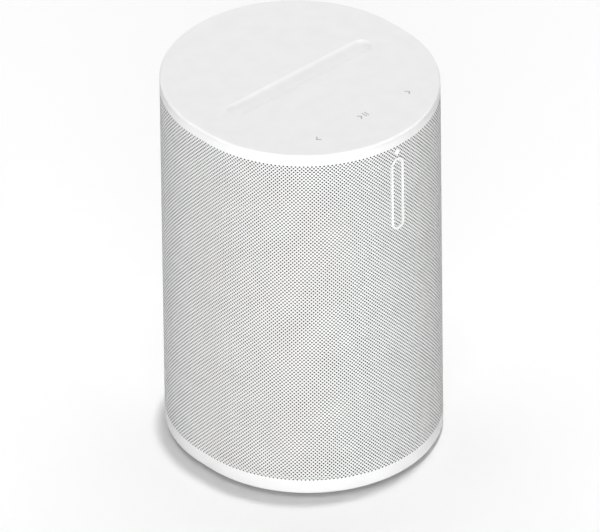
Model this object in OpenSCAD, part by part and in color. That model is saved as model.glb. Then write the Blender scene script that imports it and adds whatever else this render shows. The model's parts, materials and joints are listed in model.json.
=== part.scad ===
// Compact one-piece smart speaker: a white perforated sleeve of oblong plan, with a touch
// panel on top, a recessed connector panel at the rear and a rubber foot, over a sealed
// woofer box, a pair of splayed tweeters and the electronics.
// +Z is up, -Y is the front, and the origin is the middle of the foot on the surface.

/* [Body] */
// Width across the flat sides
body_w = 120; // [118:1:123]
// Depth from front to rear
body_d = 127.6; // [126:0.2:131]
// Height of the shell from its lower edge to the top face
shell_h = 182.5; // [182:0.5:190]
// Gap between the surface and the shell's lower edge
foot_gap = 1.5; // [1:0.1:2]
// Wall thickness of the perforated sleeve
grille_wall = 1.6; // [1.4:0.1:1.7]
// Radius of the rim at the top edge
rim_r = 0.9; // [0.4:0.1:1.2]
// Radius of the sleeve's lower edge
lower_edge_r = 2; // [1:0.1:2]

/* [Touch panel] */
// Length of the volume trough
trough_l = 84; // [60:1:90]
// Width of the volume trough at the top face
trough_w = 10.2; // [8:0.1:12]
// Radius of the trough's round bottom
trough_r = 10; // [9:0.1:20]
// Distance of the touch icons in front of the middle
icon_y = 41.6; // [35:0.1:45]
// Distance from the play icon to each chevron
icon_pitch = 27.5; // [20:0.5:32]
// Depth of the icon inlays
icon_depth = 0.3; // [0.2:0.1:0.5]

/* [Front trim] */
// Height of the raised oblong ring
badge_h = 38; // [30:0.5:45]
// Width of the raised oblong ring
badge_w = 7.3; // [5:0.1:8]
// Width of the ring's line
badge_line = 1.1; // [0.8:0.1:1.5]
// Height that the ring stands proud of the sleeve
badge_proud = 0.35; // [0.2:0.05:0.5]
// Distance from the top face to the ring's upper end
badge_drop = 11.7; // [11.5:0.1:16]
// Distance from the top face to the status light
led_drop = 8.6; // [7.5:0.1:8.7]

/* [Rear panel] */
// Width of the recess
panel_w = 22; // [21:0.5:22]
// Height of the recess
panel_h = 68; // [66:0.5:70]
// Height of the recess's middle above the surface
panel_z = 65; // [64:0.5:66]
// Travel of the pairing button
button_travel = 0.6; // [0.3:0.1:0.6]
// Travel of the microphone switch
switch_travel = 2.8; // [2:0.1:2.8]

/* [Drivers] */
// Height of the woofer's axis above the surface
woofer_z = 66; // [65:0.5:68]
// Height of the tweeters' axes above the surface
tweeter_z = 146; // [145.5:0.5:146.5]
// Angle of each tweeter from straight ahead
tweeter_splay = 40; // [39:1:42]

/* [Hidden] */
$fn = 96;
eps = 0.01;
body_r = body_w / 2;
flat = body_d - body_w;
top_z = foot_gap + shell_h;
rim_h = 1.3;
seam_z = top_z - rim_h;
sleeve_r = body_r - grille_wall;
rear_y = flat / 2 + body_r;

// Top cap, sleeve and base
cap_t = 3.4;
cap_clear = 0.2;
skirt_t = 1.5;
skirt_drop = 6;
led_r = 1;
led_clear = 0.05;
lip_w = 4;
lip_t = 2;
tray_floor_z = foot_gap + lip_t;
tray_t = 2.5;
tray_wall_top = 10;
foot_out_r = 52;
foot_in_r = 44;
foot_top_z = 3.2;
base_screw_at = [36, 12];
base_seat_z = 4.4;
liner_z = [10.4, 174];
liner_r = [57.8, 58.35];

// Rear panel stack, as distances from the middle of the body
panel_back_y = 57.5;
panel_face_y = 60.5;
panel_rim = 1.1;
panel_clear = 0.1;
io_board_y = [51.6, 53.2];
io_board_z = [55, 97];
button_r = 3.2;
button_z = 74;
plunger_end_y = 55;
knob_size = [3.2, 5.4];
switch_z = 84.6;
usb_z = 61.5;
usb_mouth = [8.34, 2.66];
usb_wall = 0.3;
inlet_z = 44;
inlet_w = 16.2;
inlet_h = 8.6;
inlet_wall = 1.4;
pin_pitch = 8.6;
pin_r = 1.2;

// Woofer box and boards
box_r = 54;
box_wall = 3;
box_z = [14, 124];
baffle_y = -32;
box_back_y = 28;
seal_t = 1.2;
box_half_w = 60;
box_screw_at = [[-44, 22], [44, 22], [-44, 116], [44, 116]];
box_boss_r = 3.5;
base_boss_h = 12;
board_y = [31, 32.6];
power_board_z = [20, 70];
main_board_z = [74, 130];
board_screw_x = 34.5;
board_screw_z = [23.5, 66.5, 78, 118];
shield_x = [-30, -6];
shield_z = [94, 120];
shield_t = 2.8;
lead_hole = [42, 110];
lead_hole_r = 1.6;
lead_r = 0.8;

// Woofer, as radii and distances in front of the baffle
flange_r = 44;
cutout_r = 38.5;
flange_z = [0.8, 3.3];
woofer_screw_r = 41.3;
woofer_hole_r = 1.7;
coil_r = 13;
coil_t = 0.3;
winding_t = 0.35;
cone_r = 32;
frame_in_r = 37;
spider_z = -17;
spider_out_r = 29.5;
pole_gap = 0.4;
plate_z = [-26.5, -22.5];
magnet_z = [-38.5, -26.5];
yoke_z = [-43, -38.5];

// Tweeters
tweeter_reach = 34;
carrier_t = 3;
dome_r = 8.6;
dome_rise = 2.6;
motor_r = 12.4;
tweeter_screw_at = 16.2;
frame_z = [168, 171];
touch_board_z = [top_z - cap_t - 1.6, top_z - cap_t];
leg_w = 8;
leg_at = [[-46, 8], [46, 8], [-20, 22], [20, 22]];

// ---------- shared shapes ----------

function around(middle, half) = [middle - half, middle + half];
function onwards(start, length) = [start, start + length];

// Outline of the body in plan at a given radius: two half circles joined by short flats
module plan(r) {
    for (side = [-1, 1])
        translate([0, side * flat / 2])
            circle(r);
    square([2 * r, flat], center = true);
}

module plan_solid(r, z) {
    translate([0, 0, z[0]])
        linear_extrude(z[1] - z[0])
            plan(r);
}

module plan_ring(r, z) {
    translate([0, 0, z[0]])
        linear_extrude(z[1] - z[0])
            difference() {
                plan(r[1]);
                plan(r[0]);
            }
}

// Carries a profile, with X outwards and Y upwards, round the plan
module plan_sweep() {
    for (half = [0, 180])
        rotate(half)
            translate([0, flat / 2, 0]) {
                rotate_extrude(angle = 180)
                    children();
                rotate([90, 0, 0])
                    linear_extrude(flat)
                        children();
            }
}

// Upright oblong outline
module oblong(w, h) {
    for (side = [-1, 1])
        translate([0, side * (h - w) / 2])
            circle(w / 2);
    square([w, h - w], center = true);
}

// Extrudes an outline drawn in X and Z from y[0] to y[1]
module through_y(y, x = 0, z = 0) {
    translate([x, y[1], z])
        rotate([90, 0, 0])
            linear_extrude(y[1] - y[0])
                children();
}

module rod_y(r, y, x = 0, z = 0) {
    translate([x, y[0], z])
        rotate([-90, 0, 0])
            cylinder(r = r, h = y[1] - y[0]);
}

module block(x, y, z) {
    translate([x[0], y[0], z[0]])
        cube([x[1] - x[0], y[1] - y[0], z[1] - z[0]]);
}

module ring(r_in, r_out, z) {
    translate([0, 0, z[0]])
        difference() {
            cylinder(r = r_out, h = z[1] - z[0]);
            translate([0, 0, -1])
                cylinder(r = r_in, h = z[1] - z[0] + 2);
        }
}

// Pan-head screw pointing down: head above z = 0, shank below
module screw(head_r, head_h, shank_r, shank_l) {
    socket_depth = 0.8;
    difference() {
        union() {
            cylinder(r = head_r, h = head_h);
            translate([0, 0, -shank_l])
                cylinder(r = shank_r, h = shank_l + eps);
        }
        translate([0, 0, head_h - socket_depth])
            cylinder(r = head_r * 0.45, h = socket_depth + 1, $fn = 6);
    }
}

// Direction of a route at its point i
function heading(points, i) =
    let (before = points[max(i - 1, 0)], after = points[min(i + 1, len(points) - 1)])
        (after - before) / norm(after - before);

// Round lead along a list of points, as one tube with eight sides
module lead(points, r) {
    sides = 8;
    last = len(points) - 1;
    reference = [0.2, 0.4, 1];
    rings = [
        for (i = [0 : last])
            let (
                ahead = heading(points, i),
                across = cross(reference, ahead) / norm(cross(reference, ahead)),
                over = cross(ahead, across)
            )
                for (k = [0 : sides - 1])
                    points[i] + r * (cos(360 * k / sides) * across + sin(360 * k / sides) * over)
    ];
    walls = [
        for (i = [0 : last - 1], k = [0 : sides - 1])
            let (a = i * sides, next = (k + 1) % sides)
                [a + k, a + sides + k, a + sides + next, a + next]
    ];
    ends = [
        [for (k = [0 : sides - 1]) k],
        [for (k = [sides - 1 : -1 : 0]) last * sides + k]
    ];
    polyhedron(rings, concat(walls, ends));
}

// ---------- outer shell ----------

module trough() {
    lift = sqrt(pow(trough_r, 2) - pow(trough_w / 2, 2));
    reach = (trough_l - trough_w) / 2;
    translate([0, 0, top_z + lift]) {
        translate([-reach, 0, 0])
            rotate([0, 90, 0])
                cylinder(r = trough_r, h = 2 * reach);
        for (side = [-1, 1])
            translate([side * reach, 0, 0])
                sphere(trough_r);
    }
}

module chevron(side) {
    arm = 1.7;
    line = 0.42;
    polygon([
        [side * arm / 2, 0], [-side * arm / 2, arm], [-side * (arm / 2 + line), arm - line],
        [side * (arm / 2 - line * 2), 0], [-side * (arm / 2 + line), line - arm], [-side * arm / 2, -arm]
    ]);
}

module play_pause() {
    bar = [0.5, 3.2];
    bar_x = [0.5, 1.9];
    chevron_x = -1.4;
    translate([chevron_x, 0])
        chevron(1);
    for (x = bar_x)
        translate([x, -bar.y / 2])
            square(bar);
}

module icons(z) {
    translate([0, -icon_y, z[0]])
        linear_extrude(z[1] - z[0]) {
            translate([-icon_pitch, 0])
                chevron(-1);
            play_pause();
            translate([icon_pitch, 0])
                chevron(1);
        }
}

module cap_profile() {
    difference() {
        translate([0, seam_z])
            square([body_r, rim_h]);
        translate([body_r - rim_r, top_z - rim_r])
            difference() {
                square(rim_r + 1);
                circle(rim_r);
            }
    }
    translate([0, top_z - cap_t])
        square([sleeve_r - cap_clear, cap_t - rim_h + eps]);
    translate([sleeve_r - cap_clear - skirt_t, top_z - skirt_drop])
        square([skirt_t, skirt_drop - rim_h]);
}

module top_cap() {
    color("white")
        difference() {
            plan_sweep()
                cap_profile();
            trough();
            icons([top_z - icon_depth, top_z + 1]);
        }
}

module touch_icons() {
    color("darkgray")
        icons([top_z - icon_depth, top_z]);
}

module sleeve_profile() {
    corner = [body_r - lower_edge_r, foot_gap + lower_edge_r];
    difference() {
        translate([body_r - lip_w, foot_gap])
            square([lip_w, seam_z - foot_gap]);
        translate([body_r - lip_w - 1, tray_floor_z])
            square([lip_w + 1 - grille_wall, shell_h]);
        translate(corner)
            rotate(-90)
                difference() {
                    square(lower_edge_r + 1);
                    circle(lower_edge_r);
                }
    }
}

module grille_sleeve() {
    color("whitesmoke")
        difference() {
            plan_sweep()
                sleeve_profile();
            through_y([rear_y - 12, rear_y + 1], z = panel_z)
                oblong(panel_w, panel_h);
            rod_y(led_r + led_clear, [-rear_y - 1, -rear_y + 5], z = top_z - led_drop);
        }
}

module grille_liner() {
    opening_margin = 4;
    color("dimgray")
        difference() {
            plan_ring(liner_r, liner_z);
            through_y([40, 70], z = panel_z)
                oblong(panel_w + 2 * opening_margin, panel_h + 2 * opening_margin);
        }
}

module badge_ring() {
    middle_z = top_z - badge_drop - badge_h / 2;
    color("white")
        intersection() {
            plan_ring([body_r, body_r + badge_proud], around(middle_z, badge_h));
            through_y([-rear_y - 5, 0], z = middle_z)
                difference() {
                    oblong(badge_w, badge_h);
                    oblong(badge_w - 2 * badge_line, badge_h - 2 * badge_line);
                }
        }
}

module status_light_pipe() {
    pipe_z = top_z - led_drop;
    bend_y = -52;
    board_gap = 0.1;
    color("white") {
        rod_y(led_r, [-rear_y, bend_y], z = pipe_z);
        translate([0, bend_y, pipe_z])
            sphere(led_r);
        translate([0, bend_y, pipe_z])
            cylinder(r = led_r, h = touch_board_z[0] - pipe_z - board_gap);
    }
}

module at_base_screws() {
    for (x = [-1, 1], y = [-1, 1])
        translate([x * base_screw_at.x, y * base_screw_at.y, 0])
            children();
}

module base_tray() {
    boss_r = 4;
    head_hole_r = 3.3;
    shank_hole_r = 1.6;
    foot_clear = 0.1;
    skirt_r = sleeve_r - cap_clear;
    color("gainsboro")
        difference() {
            union() {
                plan_solid(body_r - lip_w - cap_clear, [foot_gap + 0.5, tray_floor_z + eps]);
                plan_solid(skirt_r, [tray_floor_z, tray_floor_z + tray_t]);
                plan_ring([skirt_r - skirt_t, skirt_r], [tray_floor_z, tray_wall_top]);
                at_base_screws()
                    translate([0, 0, tray_floor_z])
                        cylinder(r = boss_r, h = box_z[0] - tray_floor_z);
            }
            plan_ring([foot_in_r - foot_clear, foot_out_r + foot_clear], [0, foot_top_z]);
            at_base_screws() {
                cylinder(r = head_hole_r, h = base_seat_z);
                cylinder(r = shank_hole_r, h = box_z[0] + 1);
            }
        }
}

module foot_ring() {
    edge = 0.6;
    color("lightgray")
        plan_sweep()
            polygon([
                [foot_in_r + edge, 0], [foot_out_r - edge, 0], [foot_out_r, edge],
                [foot_out_r, foot_top_z], [foot_in_r, foot_top_z], [foot_in_r, edge]
            ]);
}

module base_screws() {
    color("silver")
        at_base_screws()
            translate([0, 0, base_seat_z])
                mirror([0, 0, 1])
                    screw(3, 1.8, 1.5, 19);
}

// ---------- rear panel and its parts ----------

module rear_panel() {
    behind = 2;
    post_r = 1.8;
    post_at = [8.5, 57.5, 94.5];
    knob_clear = 0.2;
    button_clear = 0.15;
    port_clear = 0.1;
    usb_hole = usb_mouth + 2 * [usb_wall, usb_wall] + 3 * [port_clear, port_clear];
    inlet_hole = [inlet_w, inlet_h] + 2 * [inlet_wall, inlet_wall] + [port_clear, port_clear];
    color("gainsboro")
        difference() {
            union() {
                through_y([panel_back_y, panel_face_y], z = panel_z)
                    oblong(panel_w + 2 * behind, panel_h + 2 * behind);
                intersection() {
                    plan_solid(body_r - panel_clear / 2, [0, 130]);
                    through_y([panel_face_y - 1, rear_y + 1], z = panel_z)
                        difference() {
                            oblong(panel_w - 2 * panel_clear, panel_h - 2 * panel_clear);
                            oblong(panel_w - 2 * panel_rim, panel_h - 2 * panel_rim);
                        }
                }
                for (x = [-post_at[0], post_at[0]], z = [post_at[1], post_at[2]])
                    rod_y(post_r, [io_board_y[1], panel_back_y + eps], x, z);
            }
            rod_y(button_r + button_clear, [50, 70], z = button_z);
            through_y([50, 70], z = switch_z + switch_travel / 2)
                square(knob_size + 2 * [knob_clear, knob_clear] + [0, switch_travel], center = true);
            through_y([50, 70], z = usb_z)
                rotate(90)
                    oblong(usb_hole.y, usb_hole.x);
            through_y([50, 70], z = inlet_z)
                rotate(90)
                    oblong(inlet_hole.y, inlet_hole.x);
        }
}

module pair_button() {
    proud = 0.4;
    flange_r_out = 3.9;
    flange_y = [56.5, 57.3];
    plunger_r = 1.2;
    color("white") {
        rod_y(button_r, [flange_y[0] + 0.5, panel_face_y + proud], z = button_z);
        rod_y(flange_r_out, flange_y, z = button_z);
        rod_y(plunger_r, [plunger_end_y, flange_y[0] + eps], z = button_z);
    }
}

module tact_switch() {
    half = 3;
    bore_r = 1.35;
    color("dimgray")
        difference() {
            block([-half, half], [io_board_y[1], 55.6], around(button_z, half));
            rod_y(bore_r, [53.9, 60], z = button_z);
        }
}

module mic_switch() {
    half = knob_size / 2;
    face_y = panel_face_y + 0.6;
    groove_depth = 0.3;
    groove_pitch = 1.5;
    groove_half = 0.3;
    plate_half = [3, 4.2];
    plate_y = [56.3, 57.3];
    tab_half = [0.9, 1];
    color("white")
        difference() {
            union() {
                block([-half.x, half.x], [plate_y[1] - 0.3, face_y], around(switch_z, half.y));
                block([-plate_half.x, plate_half.x], plate_y, around(switch_z, plate_half.y));
                block([-tab_half.x, tab_half.x], [plunger_end_y, plate_y[1]], around(switch_z, tab_half.y));
            }
            for (i = [-1 : 1])
                translate([0, 0, switch_z + i * groove_pitch])
                    block([-3, 3], [face_y - groove_depth, face_y + 1], [-groove_half, groove_half]);
        }
}

module slide_switch() {
    half_w = 3.2;
    slot_half_w = 1.2;
    slot_margin = 1.4;
    body_z = [79.5, 92.5];
    color("dimgray")
        difference() {
            block([-half_w, half_w], [io_board_y[1], 55.9], body_z);
            block(
                [-slot_half_w, slot_half_w], [54.2, 60],
                [switch_z - slot_margin, switch_z + switch_travel + slot_margin]
            );
        }
}

module usb_c_shell() {
    recess = 0.2;
    color("silver")
        difference() {
            through_y([io_board_y[1], panel_face_y - recess], z = usb_z)
                rotate(90)
                    oblong(usb_mouth.y + 2 * usb_wall, usb_mouth.x + 2 * usb_wall);
            through_y([io_board_y[1] + usb_wall, 70], z = usb_z)
                rotate(90)
                    oblong(usb_mouth.y, usb_mouth.x);
        }
}

module usb_c_tongue() {
    base_end_y = 55;
    tongue_end_y = 59.3;
    tongue_half = [3.3, 0.35];
    clear = 0.1;
    color("black") {
        through_y([io_board_y[1] + usb_wall, base_end_y], z = usb_z)
            rotate(90)
                oblong(usb_mouth.y - clear, usb_mouth.x - clear);
        translate([-tongue_half.x, base_end_y - eps, usb_z - tongue_half.y])
            cube([2 * tongue_half.x, tongue_end_y - base_end_y + eps, 2 * tongue_half.y]);
    }
}

module power_inlet() {
    back_y = 44;
    floor_t = 3;
    color("black")
        difference() {
            through_y([back_y, panel_face_y], z = inlet_z)
                rotate(90)
                    oblong(inlet_h + 2 * inlet_wall, inlet_w + 2 * inlet_wall);
            through_y([back_y + floor_t, 70], z = inlet_z)
                rotate(90)
                    oblong(inlet_h, inlet_w);
            for (side = [-1, 1])
                rod_y(pin_r, [back_y - 1, back_y + floor_t + 1], side * pin_pitch / 2, inlet_z);
        }
}

module power_pins() {
    pin_y = [40, 56.2];
    color("silver")
        for (side = [-1, 1]) {
            rod_y(pin_r, pin_y, side * pin_pitch / 2, inlet_z);
            translate([side * pin_pitch / 2, pin_y[1], inlet_z])
                sphere(pin_r);
        }
}

module io_board() {
    color("darkgreen")
        block([-11, 11], io_board_y, io_board_z);
}

// ---------- top ----------

module top_frame() {
    plate_r = 57.4;
    post_r = 2.5;
    post_at = [30, 20];
    window_at = [24, -8];
    window_r = 14;
    flex_window = 8;
    color("dimgray")
        difference() {
            union() {
                plan_solid(plate_r, frame_z);
                for (at = leg_at)
                    block(around(at.x, leg_w / 2), around(at.y, leg_w / 2), [box_z[1], frame_z[0] + eps]);
                for (x = [-1, 1], y = [-1, 1])
                    translate([x * post_at.x, y * post_at.y, frame_z[1] - eps])
                        cylinder(r = post_r, h = touch_board_z[0] - frame_z[1] + eps);
            }
            block([-flex_window, flex_window], [36, 44], frame_z + [-1, 1]);
            for (x = [-1, 1])
                translate([x * window_at.x, window_at.y, frame_z[0] - 1])
                    cylinder(r = window_r, h = frame_z[1] - frame_z[0] + 2);
        }
}

module touch_board() {
    board_r = 54;
    color("darkgreen")
        plan_solid(board_r, touch_board_z);
}

module microphones() {
    half = [1.8, 1.3];
    h = 1;
    color("silver")
        for (x = [-36, 36], y = [-26, 26])
            block(around(x, half.x), around(y, half.y), [touch_board_z[0] - h, touch_board_z[0]]);
}

module antennas() {
    middle_x = 50.4;
    half_t = 0.4;
    color("goldenrod")
        for (side = [-1, 1])
            block(around(side * middle_x, half_t), [2, 22], [140, 164]);
}

// ---------- woofer box ----------

module box_walls(y) {
    span = [-box_half_w, box_half_w];
    intersection() {
        difference() {
            intersection() {
                plan_solid(box_r, box_z);
                block(span, [baffle_y, box_back_y], box_z);
            }
            intersection() {
                plan_solid(box_r - box_wall, box_z + [box_wall, -box_wall]);
                block(span, [baffle_y + box_wall, box_back_y - box_wall], box_z);
            }
        }
        block(span, y, box_z);
    }
}

module in_woofer() {
    translate([0, baffle_y, woofer_z])
        rotate([90, 0, 0])
            children();
}

module at_woofer_screws() {
    for (turn = [45 : 90 : 315])
        rotate(turn)
            translate([woofer_screw_r, 0, 0])
                children();
}

module at_base_bosses(side) {
    for (x = [-1, 1])
        translate([x * base_screw_at.x, side * base_screw_at.y, box_z[0]])
            children();
}

module woofer_box_front() {
    boss_back_y = -16;
    web_half = 1.5;
    thread_r = 1.3;
    insert_r = 1.55;
    driver_boss = [2.6, 7];
    color("dimgray")
        difference() {
            union() {
                box_walls([baffle_y, -seal_t / 2]);
                for (at = box_screw_at) {
                    near_wall_z = at.y < woofer_z ? box_z[0] + 1 : box_z[1] - 1;
                    web_z = [min(near_wall_z, at.y), max(near_wall_z, at.y)];
                    rod_y(box_boss_r, [boss_back_y, -seal_t / 2], at.x, at.y);
                    block(around(at.x, web_half), [boss_back_y, -seal_t / 2], web_z);
                }
                at_base_bosses(-1)
                    cylinder(r = box_boss_r, h = base_boss_h);
                in_woofer()
                    at_woofer_screws()
                        translate([0, 0, -2 - driver_boss.y])
                            cylinder(r = driver_boss.x, h = driver_boss.y);
            }
            in_woofer()
                translate([0, 0, -box_wall - 1])
                    cylinder(r = cutout_r, h = box_wall + 2);
            in_woofer()
                at_woofer_screws()
                    translate([0, 0, -1 - driver_boss.y])
                        cylinder(r = thread_r, h = driver_boss.y + 2);
            for (at = box_screw_at)
                rod_y(1.45, [boss_back_y + 2, 5], at.x, at.y);
            at_base_bosses(-1)
                translate([0, 0, -1])
                    cylinder(r = insert_r, h = base_boss_h - 0.5);
        }
}

module woofer_box_rear() {
    pillar_r = 3;
    pillar_thread_r = 1.15;
    insert_r = 1.55;
    color("dimgray")
        difference() {
            union() {
                box_walls([seal_t / 2, box_back_y]);
                for (at = box_screw_at)
                    rod_y(box_boss_r, [seal_t / 2, box_back_y - 1], at.x, at.y);
                at_base_bosses(1)
                    cylinder(r = box_boss_r, h = base_boss_h);
                for (x = [-1, 1], z = board_screw_z)
                    rod_y(pillar_r, [box_back_y - eps, board_y[0]], x * board_screw_x, z);
            }
            for (at = box_screw_at)
                rod_y(1.6, [-5, box_back_y + 5], at.x, at.y);
            at_base_bosses(1)
                translate([0, 0, -1])
                    cylinder(r = insert_r, h = base_boss_h - 0.5);
            for (x = [-1, 1], z = board_screw_z)
                rod_y(pillar_thread_r, [box_back_y - 2, board_y[1]], x * board_screw_x, z);
            for (side = [-1, 1])
                rod_y(lead_hole_r, [20, 40], side * lead_hole.x, lead_hole.y);
        }
}

module woofer_box_seal() {
    boss_clear = 0.1;
    color("black")
        difference() {
            box_walls([-seal_t / 2, seal_t / 2]);
            for (at = box_screw_at)
                rod_y(box_boss_r + boss_clear, [-seal_t, seal_t], at.x, at.y);
        }
}

module woofer_box_screws() {
    color("silver")
        for (at = box_screw_at)
            translate([at.x, box_back_y, at.y])
                rotate([-90, 0, 0])
                    screw(2.8, 1.8, 1.4, 40);
}

module damping_pad() {
    color("gray")
        block([-38, 38], [-22, 22], [107, 120]);
}

// ---------- woofer ----------

module woofer_basket() {
    cage_out_r = 31;
    cage_in_r = 28;
    floor_in_r = 14.2;
    floor_t = 2.5;
    slope_t = 1.2;
    slope = [
        [frame_in_r, 1], [frame_in_r + slope_t, 1], [frame_in_r + slope_t, 0],
        [cage_out_r, spider_z], [cage_out_r - slope_t, spider_z], [frame_in_r, 0]
    ];
    window = [20, 12, 10];
    color("dimgray")
        in_woofer()
            difference() {
                union() {
                    ring(frame_in_r, flange_r, flange_z);
                    rotate_extrude()
                        polygon(slope);
                    ring(cage_in_r, cage_out_r, [plate_z[1] + 1, spider_z + eps]);
                    ring(floor_in_r, cage_out_r, onwards(plate_z[1], floor_t));
                }
                for (turn = [0 : 60 : 300])
                    rotate(turn)
                        translate([25, -window.y / 2, spider_z + 2])
                            cube(window);
                at_woofer_screws()
                    translate([0, 0, -1])
                        cylinder(r = woofer_hole_r, h = flange_z[1] + 2);
            }
}

module woofer_gasket() {
    color("black")
        in_woofer()
            difference() {
                ring(cutout_r, flange_r, [0, flange_z[0]]);
                at_woofer_screws()
                    translate([0, 0, -1])
                        cylinder(r = woofer_hole_r, h = flange_z[0] + 2);
            }
}

module woofer_surround() {
    roll = [34.2, 3.6];
    roll_r = [1.9, 2.4];
    inner_edge = [30.5, 3.4];
    outer_edge_w = 2.4;
    color("black")
        in_woofer()
            rotate_extrude() {
                translate(roll)
                    difference() {
                        circle(roll_r[1]);
                        circle(roll_r[0]);
                        translate([-3, -3])
                            square([6, 3]);
                    }
                translate(inner_edge)
                    square([roll.x - roll_r[0] - inner_edge.x, 0.4]);
                translate([roll.x + roll_r[0], flange_z[1]])
                    square([outer_edge_w, 0.5]);
            }
}

module woofer_cone() {
    neck_z = -10;
    rim_z = 2.6;
    t = 0.8;
    color("black")
        in_woofer()
            rotate_extrude()
                polygon([[coil_r, neck_z], [cone_r, rim_z], [cone_r, rim_z + t], [coil_r, neck_z + t]]);
}

module woofer_dust_cap() {
    cap_r = 14.5;
    ball_r = 20;
    t = 0.4;
    base_z = -8;
    middle_z = base_z - sqrt(pow(ball_r, 2) - pow(cap_r, 2));
    color("black")
        in_woofer()
            difference() {
                translate([0, 0, middle_z])
                    sphere(ball_r);
                translate([0, 0, middle_z])
                    sphere(ball_r - t);
                translate([0, 0, base_z - 2 * ball_r])
                    cylinder(r = 2 * ball_r, h = 2 * ball_r);
            }
}

module woofer_spider() {
    coil_clear = 0.1;
    t = 0.5;
    color("goldenrod")
        in_woofer()
            ring(coil_r + coil_clear, spider_out_r, onwards(spider_z + eps, t));
}

module woofer_voice_coil() {
    former_z = [-31, -9];
    winding_z = [-28, -21];
    color("peru")
        in_woofer()
            difference() {
                union() {
                    translate([0, 0, former_z[0]])
                        cylinder(r = coil_r, h = former_z[1] - former_z[0]);
                    translate([0, 0, winding_z[0]])
                        cylinder(r = coil_r + winding_t, h = winding_z[1] - winding_z[0]);
                }
                translate([0, 0, former_z[0] - 1])
                    cylinder(r = coil_r - coil_t, h = former_z[1] - former_z[0] + 2);
            }
}

module woofer_top_plate() {
    outer_r = 30;
    color("silver")
        in_woofer()
            ring(coil_r + winding_t + pole_gap, outer_r, plate_z);
}

module woofer_magnet() {
    outer_r = 32;
    coil_room = 2.5;
    color("gray")
        in_woofer()
            ring(coil_r + coil_room, outer_r, magnet_z);
}

module woofer_yoke() {
    plate_r = 30;
    vent_r = 4;
    color("silver")
        in_woofer()
            difference() {
                union() {
                    translate([0, 0, yoke_z[0]])
                        cylinder(r = plate_r, h = yoke_z[1] - yoke_z[0]);
                    translate([0, 0, yoke_z[0]])
                        cylinder(r = coil_r - coil_t - pole_gap, h = plate_z[1] - yoke_z[0]);
                }
                translate([0, 0, yoke_z[0] - 1])
                    cylinder(r = vent_r, h = plate_z[1] - yoke_z[0] + 2);
            }
}

module woofer_screws() {
    color("silver")
        in_woofer()
            at_woofer_screws()
                translate([0, 0, flange_z[1]])
                    screw(2.6, 1.4, 1.25, 9);
}

module woofer_terminals() {
    tab = [5, 4, 2.5];
    spread = 50;
    color("goldenrod")
        in_woofer()
            for (side = [-1, 1])
                rotate(90 + side * spread)
                    translate([31, -tab.y / 2, -20])
                        cube(tab);
}

// ---------- tweeters ----------

// Stands at one tweeter's plate: +Z of the children points out along its axis
module in_tweeter(side) {
    translate([0, -flat / 2, tweeter_z])
        rotate(side * tweeter_splay)
            translate([0, -tweeter_reach, 0])
                rotate([90, 0, 0])
                    children();
}

module tweeter_carrier() {
    plate_h = [-22, 20];
    outer_x = 22;
    inner_x = tweeter_reach * tan(tweeter_splay);
    shelf_t = 2.5;
    pilot_r = 1.1;
    color("dimgray")
        difference() {
            union() {
                for (side = [-1, 1]) {
                    plate_x = side > 0 ? [-inner_x, outer_x] : [-outer_x, inner_x];
                    in_tweeter(side)
                        block(plate_x, plate_h, [-carrier_t, 0]);
                }
                block([-40, 40], [-31, -12], onwards(box_z[1], shelf_t));
            }
            for (side = [-1, 1])
                in_tweeter(side) {
                    translate([0, 0, -carrier_t - 1])
                        cylinder(r = motor_r + 0.1, h = carrier_t + 2);
                    at_tweeter_screws()
                        translate([0, 0, -10])
                            cylinder(r = pilot_r, h = 12);
                }
        }
}

module at_tweeter_screws() {
    for (side = [-1, 1])
        translate([side * tweeter_screw_at, side * tweeter_screw_at, 0])
            children();
}

module waveguide(side) {
    horn_h = 9;
    lip_h = 0.8;
    throat_r = 9.3;
    mouth_r = 16.8;
    outer_r = 18;
    flange = [38, 2];
    steps = 6;
    flare = [
        for (i = [0 : steps])
            [
                throat_r + (mouth_r - throat_r) * pow(i / steps, 2.2),
                lip_h + (horn_h - lip_h) * i / steps
            ]
    ];
    color("dimgray")
        in_tweeter(side)
            difference() {
                union() {
                    rotate_extrude()
                        polygon(concat([[throat_r, 0]], flare, [[outer_r, horn_h], [outer_r, 0]]));
                    difference() {
                        translate([-flange[0] / 2, -flange[0] / 2, 0])
                            cube([flange[0], flange[0], flange[1]]);
                        translate([0, 0, -1])
                            cylinder(r = outer_r - 1, h = flange[1] + 2);
                    }
                }
                at_tweeter_screws()
                    translate([0, 0, -1])
                        cylinder(r = 1.3, h = flange[1] + 4);
            }
}

module dome(side) {
    ball_r = (pow(dome_r, 2) + pow(dome_rise, 2)) / (2 * dome_rise);
    t = 0.25;
    former_z = [-4.5, 0.2];
    color("silver")
        in_tweeter(side) {
            difference() {
                translate([0, 0, dome_rise - ball_r])
                    sphere(ball_r);
                translate([0, 0, dome_rise - ball_r])
                    sphere(ball_r - t);
                translate([0, 0, -2 * ball_r])
                    cylinder(r = 2 * ball_r, h = 2 * ball_r);
            }
            ring(dome_r - coil_t, dome_r, former_z);
        }
}

module tweeter_motor(side) {
    can_z = [-14, -1];
    collar = [14.5, 1.5];
    slot = [dome_r - coil_t - pole_gap, dome_r + pole_gap];
    color("gray")
        in_tweeter(side)
            difference() {
                union() {
                    translate([0, 0, can_z[0]])
                        cylinder(r = motor_r, h = can_z[1] - can_z[0]);
                    translate([0, 0, -carrier_t - collar[1]])
                        cylinder(r = collar[0], h = collar[1]);
                }
                ring(slot[0], slot[1], [-6, 0]);
            }
}

module tweeter_left_waveguide() waveguide(-1);
module tweeter_right_waveguide() waveguide(1);
module tweeter_left_dome() dome(-1);
module tweeter_right_dome() dome(1);
module tweeter_left_motor() tweeter_motor(-1);
module tweeter_right_motor() tweeter_motor(1);

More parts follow.
